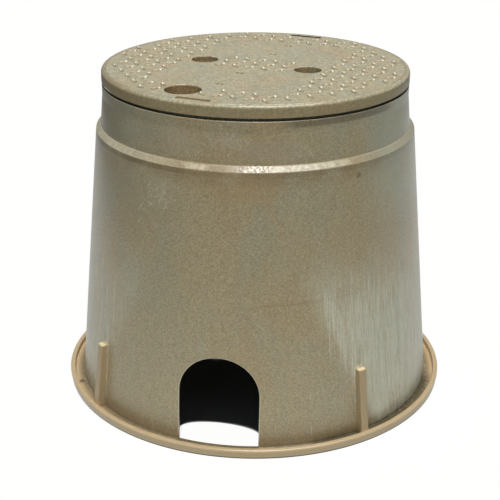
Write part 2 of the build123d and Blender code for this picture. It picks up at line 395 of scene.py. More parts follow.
def coverDisc():
    # Grid of rows and columns round the axis; holes and notches are blocks of it, taken out above and below
    # and joined by rings
    columns, step, top = cover["columns"], 360 / cover["columns"], cover["top"]
    angles = np.arange(columns) * step
    discRows = np.array([3, 8, 14, 20, 25.5, 30, 33, 36.5, 40, 43.5, 47, 50.5, 54, 57.5, 60.5, 63, 68, 74,
                         *np.linspace(79.5, 111.5, 10), 115.2])
    profile = coverProfile(discRows)
    rows, boundary = len(profile), len(discRows) - 1
    radius = np.repeat(profile[:, :1], columns, 1)
    # the row between the large hole and the front notch bends out round the large hole's sleeve
    away = np.radians((angles + cover["largeTurn"] + 180) % 360 - 180)
    around = cover["largeHole"] + cover["sleeveWall"] + 0.6
    bulge = cover["largeReach"] * np.cos(away) + np.sqrt(
        np.maximum(around ** 2 - (cover["largeReach"] * np.sin(away)) ** 2, 0))
    bulge = np.where(np.abs(away) < math.radians(9.5), bulge, 0)
    for row in (boundary, rows - 1 - boundary):
        radius[row] = np.maximum(radius[row], bulge)
    a = np.radians(angles)
    flat = np.stack([radius * np.sin(a), -radius * np.cos(a), np.repeat(profile[:, 1:], columns, 1)], -1)
    flat = flat.reshape(-1, 3)
    keep = np.ones((rows - 1, columns), bool)
    parts, groups = [flat], []

    def takeOut(first, last, middle, half):
        # Loops round a block above and below the disc, and where their nodes are
        numbers = [(middle + k) % columns for k in range(-half, half + 1)]
        keep[first:last, numbers[:-1]] = False
        keep[rows - 1 - last:rows - 1 - first, numbers[:-1]] = False
        above = np.arange(first, last + 1)
        loops = [blockLoop(block, numbers, columns) for block in (above, rows - 1 - above)]
        return *loops, *(flat[loop][:, :2] for loop in loops)

    def joinThrough(loops, charts, heights):
        rings = [np.column_stack([chart, np.full(len(chart), z)]) for chart, z in zip(charts, heights)]
        bridge(parts, groups, loops[0], np.array(rings), loops[1])

    for x, y, size, block, azimuth, half in coverHoles():
        first, last = (int(np.argmin(abs(discRows - row))) for row in block)
        *loops, nodes, nodesUnder = takeOut(first, last, round(azimuth / step), half)
        edge, bend = cover["holeEdge"], cover["sleeveRound"]
        outside, foot = size + cover["sleeveWall"], top - cover["sleeveDepth"]
        shares = (0.3, 0.55, 0.75, 0.9, 1.0)
        rim = circleOutline(nodes, x, y, size + edge)
        # radius and height down the bore, round the sleeve's foot and up its outside to the disc
        bore = [(size + edge * (1 - math.sin(b)), top - edge * (1 - math.cos(b))) for b in quarter[1:]]
        bore += [(size, top - 2 * edge), (size, foot + 0.8)]
        bore += [(size + bend * (1 - math.cos(b)), foot + bend * (1 - math.sin(b))) for b in quarter]
        bore += [(outside - bend * (1 - math.sin(b)), foot + bend * (1 - math.cos(b))) for b in quarter]
        bore += [(outside, foot + 0.8), (outside, under - 0.7), (outside + 0.1, under - 0.25),
                 (outside + 0.3, under)]
        charts = [nodes * (1 - s) + rim * s for s in shares]
        charts += [circleOutline(nodes, x, y, r) for r, _ in bore]
        charts += [charts[-1] * (1 - s) + nodesUnder * s for s in (0.3, 0.7)]
        joinThrough(loops, charts, [top] * len(shares) + [z for _, z in bore] + [under, under])

    for side in (-1, 1):
        middle = 0 if side < 0 else columns // 2
        *loops, nodes, nodesUnder = takeOut(boundary, boundary + 4, middle, 7)
        edge, inRing = cover["notchEdge"], cover["ringInner"] - 0.2
        rim = slotOutline(nodes, side, edge)
        charts = [nodes * (1 - s) + rim * s for s in (0.5, 0.85, 1.0)]
        charts += [slotOutline(nodes, side, edge * (1 - math.sin(b))) for b in quarter[1:]]
        charts += [slotOutline(nodes, side, 0), slotOutline(nodes, side, 0, inRing),
                   slotOutline(nodes, side, 0.05, inRing)]
        charts.append(charts[-1] * 0.4 + nodesUnder * 0.6)
        heights = [top] * 3 + [top - edge * (1 - math.cos(b)) for b in quarter[1:]]
        joinThrough(loops, charts, heights + [top - 1.2, under + 0.2, under, under])

    start = sum(map(len, parts))
    parts.append(np.array([[0, 0, top], [0, 0, under]]))
    poles = [fan(np.arange(columns), start), fan((rows - 1) * columns + np.arange(columns), start + 1)]
    return np.vstack(parts), [gridFaces(rows, columns)[keep], *groups], poles


def treadPlaces():
    # Square grid centred on the cover, leaning one way and the other by turns, the fields and holes left bare
    limit, pitch, length = cover["radius"] - tread["margin"], tread["pitch"], tread["length"]
    steps = np.arange(-int(limit // pitch), int(limit // pitch) + 1)
    column, row = np.meshgrid(steps, steps)
    x, y = column * pitch, row * pitch
    inField = (abs(y) > tread["fieldNear"]) & (abs(y) < tread["fieldFar"]) & (abs(x) < tread["fieldHalf"])
    notchStart = cover["ringInner"] - cover["notchWidth"] - length
    nearNotch = (abs(x) < (cover["notchLength"] + length) / 2) & (abs(y) > notchStart)
    clear = np.min([np.hypot(x - hx, y - hy) - size for hx, hy, size, *_ in coverHoles()], axis=0)
    keep = (np.hypot(x, y) <= limit) & ~inField & ~nearNotch & (clear >= length / 2 + tread["holeGap"])
    return x[keep], y[keep], np.radians(np.where((column + row) % 2, 45.0, -45.0)[keep])


def treadNubs():
    # Lens outline: half the length times cosine, half the width times sine to the power 1.5. Rings shrink it
    # to the crown. The height stays near the crown's, drops steeply at the flank, then runs out in a fillet.
    points, height = 24, tread["height"]
    a = np.arange(points) * 2 * math.pi / points
    outline = np.stack([tread["length"] / 2 * np.cos(a),
                        tread["width"] / 2 * np.sign(np.sin(a)) * np.abs(np.sin(a)) ** 1.5], -1)
    rings = [(0.25, 0.99), (0.5, 0.95), (0.68, 0.86), (0.81, 0.68), (0.89, 0.42), (0.95, 0.2), (1.02, 0.09),
             (1.12, 0.03), (1.2, -0.04)]
    nub = [np.column_stack([share * outline, np.full(points, rise * height)]) for share, rise in rings]
    nub = np.vstack([*nub, [[0, 0, height], [0, 0, -0.45]]])
    x, y, turn = treadPlaces()
    crown = np.arange(points)
    tips = np.vstack([fan(crown, len(nub) - 2), fan((len(rings) - 1) * points + crown, len(nub) - 1)])
    quads = gridFaces(len(rings), points).reshape(-1, 4)
    return copies(nub, quads, tips, turn, np.stack([x, y, 0 * x + cover["top"]], -1)[:, None])


def underRibs():
    # A rounded bar carried outwards from the hub ring, closed at both ends, copied round the axis
    half, depth = cover["ribWidth"] / 2, cover["ribDepth"]
    section = roundedPath(
        [(-half, 0.4, 0), (-half, -depth, 0.7), (half, -depth, 0.7), (half, 0.4, 0)], steps=4)
    along, count = (cover["hubRing"], cover["ringInner"] + 0.6), len(section)
    bar = [np.column_stack([np.full(count, r), section + [0, under]]) for r in along]
    bar = np.vstack([*bar, [[r, 0, under - depth / 2] for r in along]])
    end = np.arange(count)
    tips = np.vstack([fan(end, 2 * count), fan(count + end, 2 * count + 1)])
    angles = np.radians((np.arange(cover["ribs"]) + 0.5) * 360 / cover["ribs"])
    return copies(bar, gridFaces(2, count).reshape(-1, 4), tips, angles)


def ringRib(middle):
    # The same bar carried round the axis at one radius
    inner, outer = middle - cover["ribWidth"] / 2, middle + cover["ribWidth"] / 2
    foot = under - cover["ribDepth"]
    profile = roundedPath([(inner, under + 0.4, 0.1), (inner, foot, 0.7), (outer, foot, 0.7),
                           (outer, under + 0.4, 0.1)], closed=True, steps=4)
    angles = np.arange(0, 360, 3.0)
    return lathe(profile, angles).reshape(-1, 3), [gridFaces(len(profile), len(angles), wrapRows=True)]


def makeCover():
    # Every kind gives its points and then lists of faces; all are turned together
    kinds = (coverDisc(), treadNubs(), underRibs(), ringRib(cover["hubRing"]), ringRib(cover["middleRing"]))
    vertexParts = [turned(points, math.radians(cover["turn"])) for points, *_ in kinds]
    return makePiece("coverMoulding", vertexParts, [sum(faces, []) for _, *faces in kinds])


# Node helpers
class nodeValue:
    # One output of a node, so that node maths can be written as a formula
    def __init__(self, socket):
        self.socket = socket

    def __add__(self, other):
        return maths("ADD", self, other)

    def __sub__(self, other):
        return maths("SUBTRACT", self, other)

    def __rsub__(self, other):
        return maths("SUBTRACT", other, self)

    def __mul__(self, other):
        return maths("MULTIPLY", self, other)

    def __truediv__(self, other):
        return maths("DIVIDE", self, other)

    def __neg__(self):
        return maths("MULTIPLY", self, -1.0)

    def __abs__(self):
        return maths("ABSOLUTE", self)


def nodeIn(tree, kind, values=None, **settings):
    # New node; node values are linked to its inputs, anything else is set
    node = tree.nodes.new(kind)
    for name, value in settings.items():
        setattr(node, name, value)
    for socket, value in (values or {}).items():
        if isinstance(value, nodeValue):
            tree.links.new(value.socket, node.inputs[socket])
        else:
            node.inputs[socket].default_value = value
    return node


def fromNode(kind, values, output=0, tree=None, **settings):
    # Output of a new node, in the tree of its first linked input where none is given
    if tree is None:
        tree = next(v for v in values.values() if isinstance(v, nodeValue)).socket.id_data
    return nodeValue(nodeIn(tree, kind, values, **settings).outputs[output])


def maths(operation, first, second=0.0):
    return fromNode("ShaderNodeMath", {0: first, 1: second}, operation=operation)


def rootOfSquares(first, second):
    return maths("SQRT", first * first + second * second)


def mixColour(factor, first, second, blend="MIX"):
    return fromNode("ShaderNodeMix", {0: factor, 6: first, 7: second}, 2, data_type="RGBA", blend_type=blend)


def spread(value, low, high, toLow=0.0, toHigh=1.0):
    # Smooth step; with low above high it falls instead of rising
    return fromNode("ShaderNodeMapRange", {0: value, 1: low, 2: high, 3: toLow, 4: toHigh},
                    interpolation_type="SMOOTHSTEP")


def band(value, low, high, soft):
    # One between two values, with soft edges outside them
    return spread(value, low - soft, low) * spread(value, high + soft, high)


def oneSide(azimuth, low, high, toLow=0.0, toHigh=1.0):
    # Smooth step on the azimuth that is back at its low end behind, where the azimuth jumps from 180 to -180
    return spread(azimuth, low, high) * spread(abs(azimuth), 160.0, 105.0) * (toHigh - toLow) + toLow


def noise(vector, scale, detail=3.0, rough=0.5, distortion=0.0):
    return fromNode("ShaderNodeTexNoise", {"Vector": vector, "Scale": scale, "Detail": detail,
                                           "Roughness": rough, "Distortion": distortion})


def vectorMaths(operation, first, second=(0, 0, 0)):
    output = "Value" if operation in ("LENGTH", "DISTANCE", "DOT_PRODUCT") else 0
    return fromNode("ShaderNodeVectorMath", {0: first, 1: second}, output, operation=operation)


def axes(vector):
    node = nodeIn(vector.socket.id_data, "ShaderNodeSeparateXYZ", {0: vector})
    return [nodeValue(socket) for socket in node.outputs]


def newGroup(name, inputs):
    # Inputs by label: None for a vector, a tuple for a colour, a number for a value
    group = bpy.data.node_groups.new(name, "ShaderNodeTree")
    for label, value in inputs.items():
        kind = "Vector" if value is None else "Color" if isinstance(value, tuple) else "Float"
        socket = group.interface.new_socket(label, in_out="INPUT", socket_type="NodeSocket" + kind)
        if value is not None:
            socket.default_value = value
    given = group.nodes.new("NodeGroupInput").outputs
    return group, {label: nodeValue(given[label]) for label in inputs}


def closeGroup(group, **results):
    # Results by label: Color is a colour, the others are values
    for label in results:
        kind = "NodeSocketColor" if label == "Color" else "NodeSocketFloat"
        group.interface.new_socket(label, in_out="OUTPUT", socket_type=kind)
    nodeIn(group, "NodeGroupOutput", results)
    return group


def placeGroup(group, values):
    node = nodeIn(values["Position"].socket.id_data, "ShaderNodeGroup", values, node_tree=group)
    return [nodeValue(socket) for socket in node.outputs]


def colour(red, green, blue):
    # sRGB 0-255 to the linear values that Blender's colour sockets hold
    c = np.array([red, green, blue]) / 255
    return (*np.where(c <= 0.04045, c / 12.92, ((c + 0.055) / 1.055) ** 2.4).tolist(), 1.0)


def paint(tone, tint, mask, strength=1):
    return mixColour(mask if strength == 1 else mask * strength, tone, colour(*tint))


def areaMask(at, area):
    # Product over an area's measures. Three numbers are a band: from, to, and its softness outside. Two are a
    # smooth step from none to all, two more are the values at its ends, and None takes a mask as it is.
    mask = None
    for name, limits in area.items():
        value = at[name]
        if limits is not None:
            shape = band if len(limits) == 3 else oneSide if name == "azimuth" else spread
            value = shape(value, *limits)
        mask = value if mask is None else mask * value
    return mask


def nameAreas(at, areas):
    for name, area in areas.items():
        at[name] = areaMask(at, area)


def paintAll(tone, look, at, paints):
    for tint, strength, area in paints:
        tone = paint(tone, look[tint], areaMask(at, area), strength)
    return tone


# Shared effects
def mottleGroup():
    # Uneven colour of moulded plastic with regrind in it: warm and grey clouds, then dark and pale speckle
    group, given = newGroup("plasticMottle", {
        "Position": None, "Base": colour(170, 160, 130), "Warm": colour(165, 140, 100),
        "Grey": colour(150, 152, 135), "Dark": colour(96, 80, 54), "Pale": colour(214, 206, 182),
        "Clouds": 0.5, "Speckle": 0.3, "Cloud Size": 18.0, "Speckle Size": 260.0, "Cloud Stretch": 1.0,
        "Grit": 0.1, "Grit Size": 500.0})
    at, cloudSize, speckleSize = given["Position"], given["Cloud Size"], given["Speckle Size"]
    stretch = fromNode("ShaderNodeCombineXYZ", {0: 1.0, 1: 1.0, 2: given["Cloud Stretch"]})
    cloudAt = vectorMaths("MULTIPLY", at, stretch)
    large = noise(cloudAt, cloudSize, 5.0, 0.6, 0.4)
    other = noise(vectorMaths("ADD", cloudAt, (0.7, 0.3, -0.4)), cloudSize * 1.7, 5.0, 0.6, 0.6)
    small = noise(at, speckleSize, 2.0, 0.7)
    fine = noise(vectorMaths("ADD", at, (0.37, -0.21, 0.11)), speckleSize * 2.6, 2.0, 0.65)
    tone = mixColour(spread(large, 0.43, 0.66) * given["Clouds"], given["Base"], given["Warm"])
    tone = mixColour(spread(other, 0.44, 0.66) * given["Clouds"], tone, given["Grey"])
    tone = mixColour(spread(small, 0.5, 0.72) * given["Speckle"], tone, given["Dark"])
    tone = mixColour(spread(fine, 0.5, 0.72) * given["Speckle"], tone, given["Pale"])
    grit = spread(noise(at, given["Grit Size"], 2.0, 0.7), 0.38, 0.62, -1.0, 1.0)
    shade = grit * given["Grit"] + 1.0
    shades = fromNode("ShaderNodeCombineColor", {0: shade, 1: shade, 2: shade})
    return closeGroup(group, Color=mixColour(1.0, tone, shades, "MULTIPLY"))


def markGroup():
    # Soft-edged ellipsoid round a centre, its edge broken up by noise: for smudges, nicks and scuffs,
    # and for some painted shade and painted highlight
    group, given = newGroup("localMark", {
        "Position": None, "Centre": None, "Reach": None, "Ragged": 0.5, "Grain": 400.0})
    at = given["Position"]
    scaled = vectorMaths("DIVIDE", vectorMaths("SUBTRACT", at, given["Centre"]), given["Reach"])
    rough = noise(at, given["Grain"], 3.0, 0.6) - 0.5
    far = vectorMaths("LENGTH", scaled) + rough * given["Ragged"] * 4.0
    return closeGroup(group, Mask=spread(far, 1.15, 0.35))


def scuffGroup():
    # Fine rubbed lines that run up the wall: noise on the direction from the axis, drawn out along Z
    # and leaning by Lean
    group, given = newGroup("scuffLines", {"Position": None, "Density": 0.5, "Lean": 0.0, "Fineness": 1.0})
    at, fineness = given["Position"], given["Fineness"]
    x, y, z = axes(at)
    across = maths("ARCTAN2", x, -y) * 0.15 + z * given["Lean"]
    place = fromNode("ShaderNodeCombineXYZ", {0: across, 1: z * 0.035, 2: rootOfSquares(x, y) * 0.02})
    lines = noise(place, fineness * 900.0, 2.0, 0.6)
    patches = noise(place, fineness * 170.0, 3.0, 0.6)
    broken = noise(at, 320.0, 2.0, 0.6)
    low = 0.66 - given["Density"] * 0.26
    mask = spread(lines * 0.62 + (patches * 0.26 + broken * 0.12), low, low + 0.12)
    return closeGroup(group, Mask=mask, Height=lines)


def scratchGroup():
    # Thin line between two places: one within 0.4 of its width, zero at its width, and fading along it
    group, given = newGroup("thinScratch", {"Position": None, "Start": None, "End": None, "Width": 0.5})
    along = vectorMaths("SUBTRACT", given["End"], given["Start"])
    offset = vectorMaths("SUBTRACT", given["Position"], given["Start"])
    share = vectorMaths("DOT_PRODUCT", offset, along) / vectorMaths("DOT_PRODUCT", along, along)
    share = maths("MINIMUM", maths("MAXIMUM", share, 0.0), 1.0)
    held = fromNode("ShaderNodeVectorMath", {0: along, "Scale": share}, operation="SCALE")
    far = vectorMaths("DISTANCE", offset, held)
    return closeGroup(group, Mask=spread(far, given["Width"], given["Width"] * 0.4) * (1.0 - share * 0.7))


def grainGroup():
    # Heights for a bump: a slow waviness of the moulding and a fine tooling grain
    group, given = newGroup("mouldGrain", {"Position": None, "Waves": 0.3, "Grain": 0.1})
    at = given["Position"]
    slow = noise(at, 28.0, 2.0, 0.5) * given["Waves"]
    fine = noise(at, 240.0, 2.0, 0.6) + noise(at, 1300.0, 2.0, 0.6)
    return closeGroup(group, Height=slow + fine * given["Grain"])


mottle, localMark, scuffLines = mottleGroup(), markGroup(), scuffGroup()
thinScratch, mouldGrain = scratchGroup(), grainGroup()


def startMaterial(name):
    material = bpy.data.materials.new(name)
    material.use_nodes = True
    tree = material.node_tree
    tree.nodes.clear()
    shader = nodeIn(tree, "ShaderNodeBsdfPrincipled")
    output = nodeIn(tree, "ShaderNodeOutputMaterial")
    tree.links.new(shader.outputs[0], output.inputs[0])
    return material, shader, nodeValue(nodeIn(tree, "ShaderNodeTexCoord").outputs["Object"])


def finishMaterial(shader, tone, rough, height, look):
    bump = fromNode("ShaderNodeBump", {"Strength": look["bump"], "Distance": mm, "Height": height})
    for name, value in {"Base Color": tone, "Roughness": rough, "Normal": bump}.items():
        shader.id_data.links.new(value.socket, shader.inputs[name])


def inMillimetres(position):
    # X, Y, Z, the distance from the axis, and the azimuth in degrees from the front (-Y) towards +X
    x, y, z = axes(vectorMaths("MULTIPLY", position, (1000, 1000, 1000)))
    return x, y, z, rootOfSquares(x, y), maths("ARCTAN2", x, -y) * (180 / math.pi)


def mottled(position, look):
    # Base tone of a moulding
    tints = {label: colour(*look[label.lower()]) for label in ("Base", "Warm", "Grey")}
    sizes = {"Clouds": "clouds", "Cloud Size": "cloudSize", "Cloud Stretch": "cloudStretch",
             "Speckle": "speckle", "Speckle Size": "speckleSize", "Grit": "grit", "Grit Size": "gritSize"}
    values = {label: look[name] for label, name in sizes.items()}
    return placeGroup(mottle, {"Position": position, **tints, **values})[0]


def grainHeight(position, look):
    return placeGroup(mouldGrain, {"Position": position, "Waves": look["waves"], "Grain": look["grain"]})[0]


def addMarks(position, tone, marks):
    # Each mark: centre and reach in millimetres, colour, strength, raggedness, grain
    for centre, reach, tint, strength, ragged, grain in marks:
        mask = placeGroup(localMark, {
            "Position": position, "Centre": tuple(v * mm for v in centre),
            "Reach": tuple(v * mm for v in reach), "Ragged": ragged, "Grain": grain})[0]
        tone = paint(tone, tint, mask, strength)
    return tone


# Body plastic: colours, then textures
bodyLook = {
    "base": (162, 150, 121), "warm": (160, 138, 102), "grey": (150, 150, 131), "flange": (195, 172, 137),
    "rib": (168, 145, 111), "scuff": (206, 208, 192), "edge": (222, 214, 190), "shade": (118, 92, 58),
    "dirtAndShade": (80, 71, 48), "gapShade": (34, 29, 21), "greyAndSheenLeft": (136, 142, 128), "paintedSheenRight": (176, 184, 172),
    "shadeBelowLedge": (96, 74, 42), "ribTopHighlight": (244, 226, 180),
    "clouds": 0.5, "speckle": 0.22, "cloudSize": 13.0, "cloudStretch": 0.45, "speckleSize": 520.0,
    "grit": 0.17, "gritSize": 780.0, "waves": 0.35, "grain": 0.07, "bump": 0.35, "linesBump": 0.1,
    "roughness": 0.34, "ledgeRoughness": 0.4, "linesRoughness": 0.12, "dirtRoughness": 0.4,
    "gapRoughness": 0.5, "seamHeight": 121.8, "seamSlope": 0.06, "scuffTop": 112.0, "scuffSlope": 0.18,
    "cornerDirtAndShade": 0.6, "sideDirtAndShade": 0.75,
}
# Rubbed lines: how dense on the outer sides and low on the wall, then the straight and the slanting ones
scuffLook = {"sides": 0.62, "low": 0.26, "fineness": 1.35,
             "slantShare": 0.75, "slantLean": 0.17, "slantFineness": 1.1}
# Noises by scale, detail, roughness and distortion
bodyNoises = {
    "clumps": (45.0, 4.0, 0.6, 0.3), "dirtAndShadeNoise": (240.0, 4.0, 0.7, 0.4), "brokenPaleNoise": (260.0, 3.0, 0.6),
    "patchNoise": (190.0, 4.0, 0.7), "unevenNoise": (480.0, 2.0, 0.7),
}
# Where things lie, as the product over these measures: height z and distance away from the axis in
# millimetres, azimuth in degrees, depth out from the wall's face, noises, and areas already named
bodyAreas = {
    "outside": {"depth": (1.6, 0.6)}, "onWall": {"outside": None, "depth": (-2.6, -1.6), "z": (230.0, 224.0)},
    "rubbedAndGlints": {"leaning": (27.0, 36.0), "z": (175.0, 105.0)}, "lowWall": {"z": (190.0, 60.0)},
    "rightMore": {"azimuth": (-20.0, 30.0, 0.62, 1.0)}, "uneven": {"unevenNoise": (0.38, 0.62, -0.12, 0.12)},
    "ledge": {"z": (227.0, 232.4, 0.4)}, "ledgeFace": {"z": (227.6, 231.6, 0.3)},
    "lowEdge": {"z": (227.4, 227.9, 0.4)}, "highEdge": {"z": (231.3, 231.8, 0.4)},
    "crestRight": {"azimuth": (19.0, 40.0, 7.0)}, "crestLeft": {"azimuth": (-11.5, -6.5, 3.5)},
    # the first of these two masks breaks up pale paint: painted highlights, and wear on the ledge's edges
    "brokenPale": {"brokenPaleNoise": (0.3, 0.62, 0.25, 1.0)}, "patchy": {"patchNoise": (0.36, 0.64, 0.4, 1.0)},
    "corner": {"away": (160.0, 156.4)}, "dirtAndShadeSide": {"azimuth": (34.0, 84.0, 9.0)},
    "inTrough": {"away": (163.1, 162.2), "z": (7.0, 3.4)},
    "inGap": {"z": (264.85, 265.1), "away": (127.45, 127.2), "azimuth": (-44.0, -64.0, 0.9, 0.2)},
}
# Paints in the order they are laid on: colour, strength and area
wallPaints = [
    # painted shade under the ledge, painted shade and dirt up the wall from the trough, and a faint slanting
    # line at the right
    ("shade", 0.4, {"z": (222.0, 227.0, 10.0), "clumps": (0.3, 0.7)}),
    ("shade", 0.42, {"z": (30.0, 3.0), "depth": (2.5, 1.0)}),
    ("shade", 0.22, {"seamLine": (-0.5, 0.5, 0.5), "azimuth": (14.0, 56.0, 6.0)}),
    # painted sheen on both sides high up, greyer in tone as well on the left, and painted shade on the
    # collar's left
    ("greyAndSheenLeft", 0.4, {"azimuth": (-6.0, -44.0), "clumps": (0.3, 0.6, 0.5, 1.0), "z": (150.0, 205.0)}),
    ("paintedSheenRight", 0.45, {"azimuth": (44.0, 66.0), "clumps": (0.3, 0.6, 0.6, 1.0), "z": (150.0, 205.0)}),
    ("dirtAndShade", 0.3, {"z": (231.0, 236.0), "azimuth": (-28.0, -58.0)}),
    # rubbed lines, and a pale film where they are dense
    ("scuff", 0.56, {"lines": None, "onWall": None}),
    ("scuff", 0.392, {"slanted": None, "onWall": None, "azimuth": (10.0, 25.0)}),
    ("scuff", 0.33, {"rubbedAndGlints": None, "rightMore": None, "onWall": None, "clumps": (0.15, 0.6)}),
]
edgePaints = [
    # the ribs are warmer than the wall, the flange warmer and paler
    ("rib", 0.8, {"depth": (0.8, 1.8), "z": (62.0, 61.0), "away": (164.3, 162.3)}),
    ("flange", 0.85, {"z": (9.5, 8.2), "away": (159.3, 161.3)}),
    # the ledge: painted shade in the middle and at the right, paler at the left, a painted highlight on two
    # lengths of its crest, and pale lines on its two edges, painted highlight and wear
    ("shade", 0.32, {"ledgeFace": None, "azimuth": (1.0, 5.0, 5.0)}),
    ("shade", 0.128, {"ledgeFace": None, "azimuth": (44.0, 64.0)}),
    ("edge", 0.34, {"ledgeFace": None, "patchy": None, "azimuth": (-10.0, -26.0)}),
    ("edge", 0.6, {"crest": None, "z": (228.2, 230.8, 0.5), "brokenPale": None}),
    ("edge", 0.16, {"edges": None, "brokenPale": None}),
    # painted shade right below the ledge, stronger at the left
    ("shadeBelowLedge", 0.5, {"z": (223.6, 226.6, 0.9), "clumps": (0.25, 0.6, 0.4, 1.0),
                         "azimuth": (0.0, -30.0, 0.35, 1.0)}),
    # pale edges on the arch of each slot, painted highlight and wear, and a painted highlight on the rib tops
    ("edge", 0.45, {"fromArch": (0.1, 0.7, 0.3), "depth": (-1.5, -0.4), "z": (6.0, 12.0)}),
    ("ribTopHighlight", 0.8, {"depth": (1.0, 3.0), "z": (59.8, 61.5, 0.4), "brokenPale": None}),
    # dirt and painted shade in the trough's corner by the wall, and up the foot of the wall at the right
    ("dirtAndShade", 1, {"dirtAndShadeInTrough": None}),
    ("dirtAndShade", 0.6, {"dirtAndShadeSide": None, "z": (15.0, 2.0), "depth": (6.0, 4.0),
                   "dirtAndShadeNoise": (0.25, 0.65, 0.3, 1.0)}),
]
gapPaints = [
    # painted shadow on the collar under the skirt, at the right
    ("dirtAndShade", 0.55, {"z": (260.8, 264.6, 1.8), "azimuth": (26.0, 62.0, 9.0)}),
    # painted shade in the gap under the cover's skirt, fading at the left
    ("gapShade", 1, {"inGap": None}),
    # painted shadow line where the flange's foot meets the ground
    ("gapShade", 1, {"z": (1.5, 0.7), "away": (160.0, 164.0)}),
]

bodyMarks = [
    ((-140.7, -75.2, 3.2), (3.4, 3.4, 3), (80, 64, 42), 0.8, 0.35, 500),
    ((166.0, -28.5, 7.8), (1.6, 1.2, 2.5), (60, 50, 36), 0.8, 0.3, 600),
    ((98.7, -92.0, 218.0), (2.6, 2.6, 2.6), (92, 82, 62), 0.6, 0.3, 500),
    ((-50.0, -127.0, 207.0), (14, 8, 12), (176, 170, 150), 0.3, 0.9, 600),
    ((-78.0, -102.0, 246.0), (24, 18, 9), (158, 155, 138), 0.45, 0.9, 450),
    ((-34.0, -123.0, 247.0), (22, 12, 12), (166, 158, 140), 0.45, 0.9, 420),
    ((36.0, -121.0, 243.0), (30, 16, 11), (162, 152, 136), 0.42, 0.9, 420),
    ((2.0, -127.0, 250.0), (16, 8, 7), (178, 168, 150), 0.4, 0.9, 520),
    ((115.0, -114.5, 29.6), (1.3, 1.3, 1.3), (86, 62, 42), 0.8, 0.2, 600),
    ((105.6, -105.0, 65.0), (2.4, 2.4, 4.5), (98, 86, 60), 0.3, 0.4, 500),
    ((-107.0, -104.5, 65.0), (2.4, 2.4, 4.5), (98, 86, 60), 0.3, 0.4, 500),
    ((101.2, -118.5, 14.0), (1.5, 1.5, 2.0), (80, 66, 46), 0.6, 0.4, 500),
    # painted brown shade below the ledge, at the left and in the middle
    ((-90.0, -85.0, 212.0), (26, 20, 14), (150, 128, 92), 0.35, 0.8, 260),
    ((20.0, -134.0, 214.0), (40, 12, 12), (160, 134, 94), 0.3, 0.8, 260),
]

# Patches of thin crossing scratches on the unrolled wall: middle azimuth and height, half spread in
# millimetres, how many, and the length of each
scratchPatches = {
    "seed": 11, "colour": (220, 220, 202), "strength": 0.52, "width": 0.32, "perDegree": 2.36,
    "patches": [(-22.5, 205.0, 10.0, 18, 9.0), (-38.0, 246.0, 12.0, 8, 7.0), (-10.0, 238.0, 6.0, 6, 5.0),
                (-27.0, 188.0, 12.0, 6, 9.0), (6.0, 246.0, 9.0, 8, 5.0), (28.0, 240.0, 8.0, 6, 5.0)],
}


def addScratches(azimuth, z, tone):
    look = scratchPatches
    random = np.random.default_rng(look["seed"])
    unrolled = fromNode("ShaderNodeCombineXYZ", {0: azimuth * look["perDegree"], 1: z, 2: 0.0})
    total = 0.0
    for middle, height, half, count, length in look["patches"]:
        for _ in range(count):
            spot = np.array([middle * look["perDegree"], height]) + random.uniform(-half, half, 2)
            lean = math.radians(random.choice([-1, 1]) * random.uniform(25, 65))
            reach = length * random.uniform(0.5, 1.0) / 2 * np.array([math.sin(lean), math.cos(lean)])
            mask = placeGroup(thinScratch, {"Position": unrolled, "Start": (*(spot - reach).tolist(), 0),
                                            "End": (*(spot + reach).tolist(), 0), "Width": look["width"]})[0]
            total = maths("MAXIMUM", total, mask)
    return paint(tone, look["colour"], total, look["strength"])


def bodyPlastic():
    look = bodyLook
    material, shader, position = startMaterial("bodyPlastic")
    x, _, z, away, azimuth = inMillimetres(position)
    taper = (body["shoulder"] - body["wallFoot"]) / body["shoulderHeight"]
    rise = maths("MAXIMUM", z - (body["slotHeight"] - body["slotWidth"] / 2), 0.0)
    at = {name: noise(position, *settings) for name, settings in bodyNoises.items()}
    at.update(z=z, away=away, azimuth=azimuth, depth=away - (z * taper + body["wallFoot"]),
              seamLine=z - (azimuth * look["seamSlope"] + look["seamHeight"]),
              leaning=abs(azimuth) - (look["scuffTop"] - z) * look["scuffSlope"],
              fromArch=rootOfSquares(x, rise) - body["slotWidth"] / 2)
    nameAreas(at, bodyAreas)
    at["crest"] = at["crestRight"] + at["crestLeft"]
    at["edges"] = at["lowEdge"] + at["highEdge"]
    # dirt and painted shade lie in the trough by the wall's foot, and more of them at the right
    at["dirtAndShadeShare"] = at["corner"] * look["cornerDirtAndShade"] + at["dirtAndShadeSide"] * look["sideDirtAndShade"]
    nameAreas(at, {"dirtAndShadeInTrough": {"inTrough": None, "dirtAndShadeShare": None, "dirtAndShadeNoise": (0.22, 0.6, 0.35, 1.0)}})

    # lines are dense below the ribs' height on the outer sides, where a nested box drags, and thin elsewhere
    scuff = scuffLook
    density = at["rubbedAndGlints"] * at["rightMore"] * scuff["sides"] + at["lowWall"] * scuff["low"]
    at["lines"], lineHeight = placeGroup(scuffLines, {
        "Position": position, "Density": density, "Lean": 0.0, "Fineness": scuff["fineness"]})
    at["slanted"], _ = placeGroup(scuffLines, {
        "Position": position, "Density": density * scuff["slantShare"], "Lean": scuff["slantLean"],
        "Fineness": scuff["slantFineness"]})

    tone = paintAll(mottled(position, look), look, at, wallPaints)
    tone = addScratches(azimuth, z, tone)
    tone = addMarks(position, paintAll(tone, look, at, edgePaints), bodyMarks)
    tone = paintAll(tone, look, at, gapPaints)

    rough = at["lines"] * look["linesRoughness"] + look["roughness"]
    rough = rough + (at["dirtAndShadeInTrough"] * look["dirtRoughness"] + at["inGap"] * look["gapRoughness"])
    rough = rough + at["ledge"] * (at["uneven"] + (look["ledgeRoughness"] - look["roughness"]))
    height = grainHeight(position, look) + lineHeight * at["onWall"] * look["linesBump"]
    finishMaterial(shader, tone, rough, height, look)
    return material


